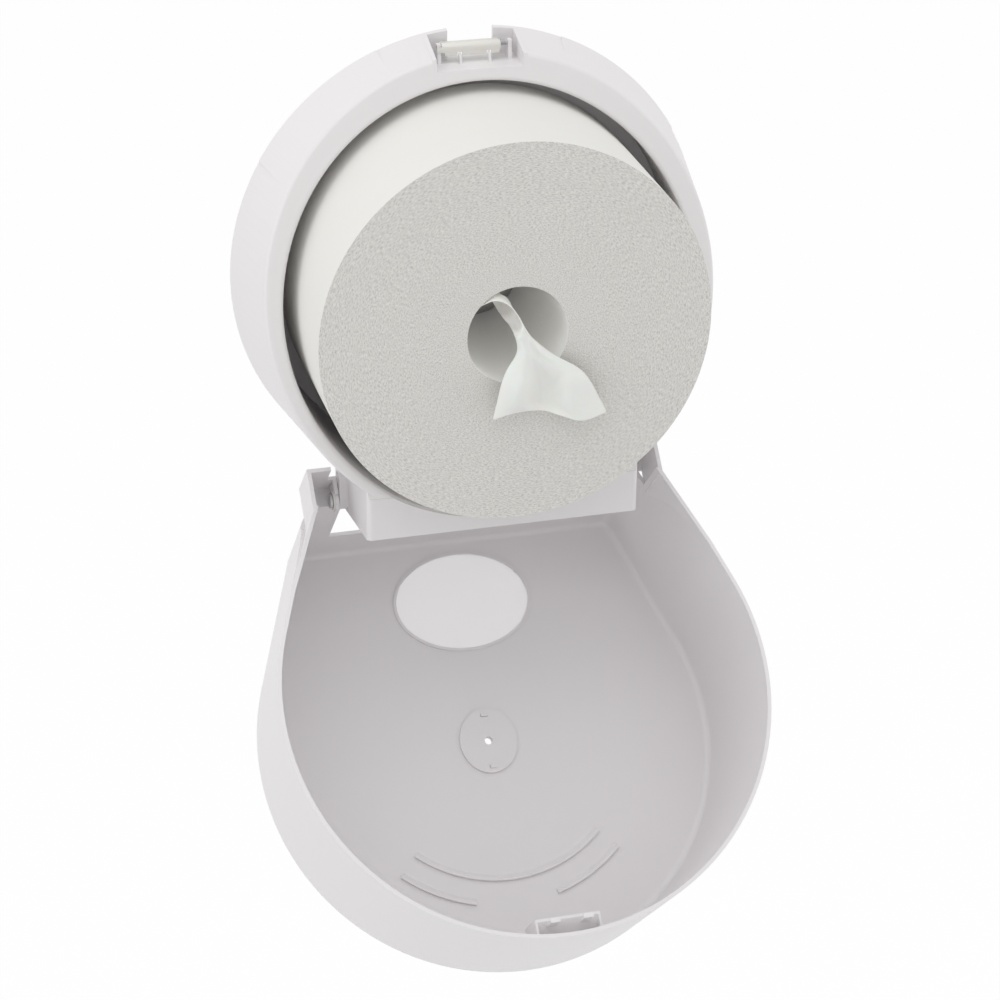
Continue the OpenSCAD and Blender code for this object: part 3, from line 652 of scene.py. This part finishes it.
class DISPENSER_OT_keeper(bpy.types.Operator):
    """Make the keeper: a leaning plate between two side walls, with hooks for the latch bar"""
    bl_idname = "dispenser.keeper"
    bl_label = "Keeper"

    def execute(self, context):
        sizes = context.scene.dispenser_latch
        pin = middle("latch_pin")
        wide, wall = sizes.plate_half_width, sizes.wall
        back = pin.y + KEEPER_BACK
        front = back - sizes.side_depth
        free_edge = pin.z + KEEPER_FREE_EDGE
        low, high = free_edge - wall, pin.z + KEEPER_REACH
        lean = (high - free_edge) * math.tan(sizes.lean)
        thickness = wall * PLATE_ALONG_Y
        keeper = bar_along_x([
            (back, low), (back, free_edge + wall * PLATE_LIP), (back - lean, high),
            (back - lean - thickness, high), (back - thickness, low)], -wide, wide)
        combine(keeper, [
            slab((-wide, front, low), (wall - wide, back, high)),
            slab((wide - wall, front, low), (wide, back, high))])
        start_afresh()
        bpy.ops.mesh.primitive_cone_add(
            vertices=512, radius1=BAND_BACK, radius2=BAND_FRONT, depth=BAND_DEPTH,
            location=(0.0, BAND_START - BAND_DEPTH / 2, 0.0), rotation=(math.pi / 2, 0.0, 0.0))
        inside_band = context.object
        settle()
        combine(keeper, [inside_band], "INTERSECT")
        barb_front, hook_back = (pin.y + depth for depth in BARB_DEPTH)
        hook_top = pin.z + HOOK_TOP
        for x in HOOK_PLACES:
            left, right = x - HOOK_HALF_WIDTH, x + HOOK_HALF_WIDTH
            end = (right, hook_back, hook_top)
            combine(keeper, [
                slab((left, back - HOOK_ROOT, pin.z + ARM_UNDERSIDE), end),
                slab((left, barb_front, pin.z + BARB_TIP), end)])
        swing_open(keeper)
        white = white_moulding(context.scene.dispenser_mouldings)
        dress_moulding(keeper, "keeper_moulding", white, sizes.edge)
        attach(keeper, "cover")
        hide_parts("keeper_bracket")
        return {"FINISHED"}


# The inside of the shut cover's front, and the curved ribs on it: the radius of each rib's inner
# side and the angles from straight up, in degrees, between which it runs
FRONT_INSIDE = -0.1419
RIBS = ((0.0967, -42.0, 42.0), (0.1142, 14.5, 42.0), (0.1142, -42.0, -14.5))


class DISPENSER_OT_rib_slopes(bpy.types.Operator):
    """Make the slopes that run up to the inner sides of the cover's three curved ribs"""
    bl_idname = "dispenser.rib_slopes"
    bl_label = "Rib Slopes"

    def execute(self, context):
        sizes = context.scene.dispenser_ribs
        made = []
        for radius, first, last in RIBS:
            wedge = (
                (FRONT_INSIDE, radius - sizes.slope_width),
                (FRONT_INSIDE + sizes.slope_height, radius), (FRONT_INSIDE, radius))
            slope = bar_along_x(wedge, 0.0, 1.0, sizes.steps)
            for point in slope.data.vertices:
                along, height, reach = point.co
                angle = math.radians(first + (last - first) * along)
                point.co = (reach * math.sin(angle), height, reach * math.cos(angle))
            made.append(slope)
        slopes = made[0]
        only(slopes)
        for slope in made:
            slope.select_set(True)
        bpy.ops.object.join()
        swing_open(slopes)
        dress_moulding(
            slopes, "cover_rib_slopes", white_moulding(context.scene.dispenser_mouldings))
        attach(slopes, "cover")
        return {"FINISHED"}


# How the roll's faces are told apart: how squarely a flat end, and a face with the end's finish,
# look along the roll, how near a flat end is to the roll's own, and the hole's reach in its radii
FLAT_END, END_FINISH, END_NEARNESS, HOLE_REACH = 0.9, 0.8, 0.0006, 1.1

# The steps on the roll's ends: the steady share of their relief, the share that comes and goes,
# and its rhythm. Then the cuts that split the roll's side and the hole's wall along the roll.
RELIEF_STEADY, RELIEF_SWING, RELIEF_RHYTHM = 0.6, 0.4, 2.1
SIDE_CUTS = 6


class DISPENSER_OT_roll(bpy.types.Operator):
    """Make the paper roll: a soft drum of wound tissue with an open middle"""
    bl_idname = "dispenser.roll"
    bl_label = "Paper Roll"

    def execute(self, context):
        sizes = context.scene.dispenser_roll
        start_afresh()
        bpy.ops.mesh.primitive_cylinder_add(
            vertices=sizes.sides, radius=ROLL_RADIUS, depth=ROLL_LENGTH, end_fill_type="NGON",
            location=ROLL_CENTRE, rotation=(math.pi / 2, 0.0, 0.0))
        roll = context.object
        roll.name = roll.data.name = "toilet_roll"
        settle()
        side, end, hole = range(3)
        for finish in (wrapped_paper, layered_edges, inner_wraps_painted_light):
            roll.data.materials.append(finish(sizes))

        def on_end(face):
            from_end = abs(abs(face.center.y - ROLL_CENTRE.y) - ROLL_LENGTH / 2)
            return abs(face.normal.y) > FLAT_END and from_end < END_NEARNESS

        bpy.ops.object.mode_set(mode="EDIT")
        pick_faces(roll, on_end)
        bpy.ops.mesh.region_to_loop()
        bpy.ops.mesh.bevel(
            offset=sizes.edge_round, offset_type="OFFSET", segments=3, affect="EDGES")
        pick_faces(roll, lambda face: on_end(face) and len(face.vertices) > 4)
        width = (ROLL_RADIUS - sizes.edge_round - sizes.hole_radius) / sizes.layer_steps
        for step in range(sizes.layer_steps):
            share = RELIEF_STEADY + RELIEF_SWING * math.sin(step * RELIEF_RHYTHM)
            lift = sizes.layer_relief * (1 if step % 2 else -1) * share
            bpy.ops.mesh.inset(thickness=width * 0.5, depth=lift, use_even_offset=False)
            bpy.ops.mesh.inset(thickness=width * 0.5, depth=0.0, use_even_offset=False)
        bpy.ops.mesh.delete(type="ONLY_FACE")
        bpy.ops.mesh.select_all(action="DESELECT")
        bpy.ops.mesh.select_mode(type="EDGE")
        bpy.ops.mesh.select_non_manifold()
        bpy.ops.mesh.bridge_edge_loops(number_cuts=SIDE_CUTS, smoothness=0.0)
        bpy.ops.mesh.select_all(action="SELECT")
        bpy.ops.mesh.normals_make_consistent(inside=False)
        bpy.ops.object.mode_set(mode="OBJECT")
        for face in roll.data.polygons:
            off_axis = math.hypot(face.center.x - ROLL_CENTRE.x, face.center.z - ROLL_CENTRE.z)
            if abs(face.normal.y) > END_FINISH:
                face.material_index = end
            else:
                face.material_index = hole if off_axis < sizes.hole_radius * HOLE_REACH else side
        only(roll)
        bpy.ops.object.shade_smooth_by_angle(angle=EDGE_ANGLE)
        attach(roll, "roll")
        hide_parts("paper_roll")
        return {"FINISHED"}


# Control lines of the free tissue in millimetres: each row runs across the sheet, and the rows
# go from the hole's wall to the torn end. X and Z are 0 at the roll's middle, and Y on its front.
TISSUE_LINES = (
    ((-24.5, 1, 21.5), (-21.9, 5.4, 22.7), (-17.2, 11, 23.4), (-11.1, 18, 23.2),
     (-7.2, 27.3, 20.6), (-9.9, 36.4, 23), (-18.4, 45, 30.6)),
    ((-16.3, -1, 25.2), (-13.2, 2.9, 26.7), (-8.8, 7.2, 25.1), (-3.8, 12, 20.4),
     (-2.6, 17.5, 14.8), (-4.5, 21.9, 11.6), (-8.7, 25, 11.1)),
    ((-8.1, -2, 22.8), (-5.2, 0.6, 20.5), (-2.6, 3.6, 17.1), (-1, 7, 12.9),
     (-2, 9.7, 9.8), (-3.8, 12.3, 7.9), (-6.2, 15, 6.9)),
    ((-1, -2.9, 14.9), (0.7, -1.1, 11.7), (1.8, 1.3, 8.2), (2, 4, 4.9),
     (0.7, 6.1, 2.9), (-1, 7.7, 2.3), (-3, 9, 2.8)),
    ((5.9, -1, 1.9), (4, -3.2, 2.7), (2, -5.3, 3.4), (0.1, -7, 3.8),
     (-1.5, -7.5, 3.5), (-2.5, -6.9, 2.5), (-3.2, -5.5, 0.9)),
    ((11.2, -3.8, -4.2), (8.7, -6.1, -3.2), (6.7, -5.6, -3.9), (3.9, -7, -2.7),
     (0.8, -8.9, -1.3), (-1.2, -8.3, -2.3), (-2.1, -6.3, -5.3)),
    ((22.1, -6.3, -13.3), (15.1, -8.8, -11.6), (11.2, -6.5, -13.3), (6.9, -8.2, -11.9),
     (2.4, -10.9, -9), (-0.9, -9.5, -9), (-3.6, -7, -11.1)),
    ((36.9, -7.7, -22.5), (27.4, -10.3, -21.6), (19.4, -9.4, -22.7), (12.8, -4.3, -26),
     (2.1, -12.5, -20.1), (-5.1, -11.6, -18.9), (-9.8, -8.9, -19.4)),
    ((44.2, -10.1, -30.6), (29.7, -13.2, -30.7), (22.2, -4.8, -35.9), (14.4, -2, -37.1),
     (0.4, -15.3, -29.2), (-7.8, -13.9, -28.2), (-13.7, -10.7, -28.4)),
    ((50.9, -10.1, -43.3), (31.4, -13.6, -44.9), (22.8, -4.8, -47.5), (14.1, -1, -47.2),
     (-0.2, -13.9, -40.4), (-9.1, -13.9, -39.6), (-16.4, -11.3, -39.6)),
    ((56.6, -10.1, -54.8), (40, -13.6, -57.6), (27.4, -10.1, -54.5), (17.6, -4.8, -52.1),
     (4.2, -9.5, -48.5), (-8.7, -12.8, -48.1), (-19.3, -11.8, -51.3)),
)


def through(points, place):
    """A point on the smooth curve through points, with the first at place 0 and the next at 1"""
    first = min(int(place), len(points) - 2)
    t = place - first
    a, b, c, d = (points[min(max(first + n, 0), len(points) - 1)] for n in (-1, 0, 1, 2))
    if first == 0:
        a = b * 2 - c
    if first == len(points) - 2:
        d = c * 2 - b
    return (b * 2 + (c - a) * t + (a * 2 - b * 5 + c * 4 - d) * t ** 2
            + (b * 3 - a - c * 3 + d) * t ** 3) / 2


class DISPENSER_OT_tissue(bpy.types.Operator):
    """Make the free end of the tissue, drawn from the roll's middle and hanging over its face"""
    bl_idname = "dispenser.tissue"
    bl_label = "Free Tissue"

    def execute(self, context):
        sizes = context.scene.dispenser_tissue
        start_afresh()
        face = Vector((0.0, ROLL_FACE, ROLL_CENTRE.z))
        lines = [[Vector(point) / 1000 + face for point in line] for line in TISSUE_LINES]
        across = (len(lines[0]) - 1) * sizes.fullness
        along = (len(lines) - 1) * sizes.fullness
        bpy.ops.mesh.primitive_grid_add(x_subdivisions=across, y_subdivisions=along, size=2.0)
        tissue = context.object
        tissue.name = tissue.data.name = "free_tissue"
        for point in tissue.data.vertices:
            u, v = (point.co.x + 1) / 2, (point.co.y + 1) / 2
            lengthwise = [through(line, u * (len(line) - 1)) for line in lines]
            point.co = through(lengthwise, v * (len(lengthwise) - 1))
        apply_modifier(tissue, "SUBSURF", "Smooth", levels=2, render_levels=2)
        apply_modifier(tissue, "SOLIDIFY", "Ply", thickness=sizes.thickness, offset=0.0)
        tissue.data.materials.append(soft_tissue(sizes))
        only(tissue)
        bpy.ops.object.shade_smooth()
        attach(tissue, "roll")
        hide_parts("tissue_tail")
        return {"FINISHED"}


# The camera's place, how far it is turned to the right, tipped down and rolled, in degrees, how
# far its picture is shifted, as shares of the picture's width, its sensor's width in millimetres,
# and how near and how far it sees
CAMERA_PLACE = (-0.47246, -1.77215, 0.74582)
CAMERA_YAW, CAMERA_PITCH, CAMERA_ROLL = 15.711, 26.772, 0.719
CAMERA_SHIFT, SENSOR_WIDTH = (-0.0024, 0.0003), 36.0
CAMERA_NEAR, CAMERA_FAR = 0.05, 100.0

# The floor's size, and the share of white that the camera sees on it, which leaves the soft shadow
FLOOR_SIZE, FLOOR_WHITE = 40.0, 0.97

# The soft lights: name, place, the point that each faces, width, height, and the setting and the
# share of it that give its power
LIGHTS = (
    ("Key", (-0.35, -0.6, 1.75), (0.0, -0.1, -0.1), 1.8, 1.8, "key", 1.0),
    ("Left", (-1.8, -0.3, 0.45), (0.0, -0.15, -0.3), 1.2, 1.4, "side", 1.4),
    ("Right", (1.8, -0.1, 0.3), (0.0, -0.1, -0.1), 1.4, 1.8, "side", 1.0),
    ("Low", (-0.2, -1.3, -0.85), (0.0, -0.2, -0.3), 1.4, 0.9, "low", 1.0),
)


class DISPENSER_OT_studio(bpy.types.Operator):
    """Set up the camera, the pale floor and the soft lights"""
    bl_idname = "dispenser.studio"
    bl_label = "Studio"

    def execute(self, context):
        scene, look = context.scene, context.scene.dispenser_studio
        start_afresh()

        eye = bpy.data.objects.new("Camera", bpy.data.cameras.new("Camera"))
        scene.collection.objects.link(eye)
        yaw, pitch, roll = (math.radians(a) for a in (CAMERA_YAW, CAMERA_PITCH, CAMERA_ROLL))
        ahead = Vector((
            math.sin(yaw) * math.cos(pitch), math.cos(yaw) * math.cos(pitch), -math.sin(pitch)))
        level = Vector((math.cos(yaw), -math.sin(yaw), 0.0))
        upright = level.cross(ahead)
        right = level * math.cos(roll) + upright * math.sin(roll)
        up = upright * math.cos(roll) - level * math.sin(roll)
        turn = Matrix((right, up, -ahead)).transposed().to_4x4()
        eye.matrix_world = Matrix.Translation(CAMERA_PLACE) @ turn
        eye.data.lens, eye.data.sensor_width = look.lens, SENSOR_WIDTH
        eye.data.shift_x, eye.data.shift_y = CAMERA_SHIFT
        eye.data.clip_start, eye.data.clip_end = CAMERA_NEAR, CAMERA_FAR
        scene.camera = eye

        bpy.ops.mesh.primitive_plane_add(size=FLOOR_SIZE, location=(0.0, 0.0, -look.floor_drop))
        floor = context.object
        floor.name = "studio_floor"
        paint = Finish("Studio floor")
        paint.surface(Base_Color=(0.90, 0.90, 0.90), Roughness=0.9, Specular_IOR_Level=0.0)
        lit = Wire(paint, paint.shader.outputs[0])
        glow = paint.node("ShaderNodeEmission", {}, {"Color": (1.0, 1.0, 1.0), "Strength": 1.0})
        both = paint.node(
            "ShaderNodeMixShader", {}, {0: paint.seen() * FLOOR_WHITE, 1: lit, 2: glow})
        paint.fill(paint.nodes["Material Output"].inputs["Surface"], both)
        floor.data.materials.append(paint.material)

        scene.world = scene.world or bpy.data.worlds.new("Studio")
        sky = Tree(scene.world)
        background = sky.nodes["Background"].inputs
        sky.fill(background["Color"], (1.0, 1.0, 1.0))
        sky.fill(background["Strength"], sky.seen().maths("MAXIMUM", look.ambient))

        for name, place, aim, width, height, setting, share in LIGHTS:
            lamp = bpy.data.objects.new(name, bpy.data.lights.new(name, "AREA"))
            lamp.data.shape, lamp.data.size, lamp.data.size_y = "RECTANGLE", width, height
            lamp.data.energy = getattr(look, setting) * share
            facing = (Vector(aim) - Vector(place)).to_track_quat("-Z", "Y").to_matrix().to_4x4()
            lamp.matrix_world = Matrix.Translation(place) @ facing
            scene.collection.objects.link(lamp)
        scene.view_settings.view_transform = "Standard"
        return {"FINISHED"}


class DISPENSER_PT_panel(bpy.types.Panel):
    """Lists the dispenser's pieces and their settings"""
    bl_idname = "DISPENSER_PT_panel"
    bl_label = "Toilet Roll Dispenser"
    bl_space_type = "VIEW_3D"
    bl_region_type = "UI"
    bl_category = "Dispenser"

    def draw(self, context):
        for operator in OPERATORS:
            self.layout.operator(operator.bl_idname)
        for name in GROUPS:
            box = self.layout.box()
            group = getattr(context.scene, name)
            for field in group.__annotations__:
                box.prop(group, field)


OPERATORS = (
    DISPENSER_OT_studio, DISPENSER_OT_mouldings, DISPENSER_OT_fittings, DISPENSER_OT_latch_bar,
    DISPENSER_OT_keeper, DISPENSER_OT_rib_slopes, DISPENSER_OT_roll, DISPENSER_OT_tissue)
GROUPS = {
    "dispenser_roll": RollSettings,
    "dispenser_tissue": TissueSettings,
    "dispenser_mouldings": MouldingSettings,
    "dispenser_latch": LatchSettings,
    "dispenser_ribs": RibSettings,
    "dispenser_studio": StudioSettings,
}


def register():
    for kind in (*GROUPS.values(), *OPERATORS, DISPENSER_PT_panel):
        bpy.utils.register_class(kind)
    for name, kind in GROUPS.items():
        setattr(bpy.types.Scene, name, PointerProperty(type=kind))


def unregister():
    for name in GROUPS:
        delattr(bpy.types.Scene, name)
    for kind in (DISPENSER_PT_panel, *reversed(OPERATORS), *reversed(GROUPS.values())):
        bpy.utils.unregister_class(kind)


def main():
    register()
    bpy.ops.dispenser.studio()
    bpy.ops.dispenser.mouldings()
    bpy.ops.dispenser.fittings()
    bpy.ops.dispenser.latch_bar()
    bpy.ops.dispenser.keeper()
    bpy.ops.dispenser.rib_slopes()
    bpy.ops.dispenser.roll()
    bpy.ops.dispenser.tissue()


if __name__ == "__main__":
    main()
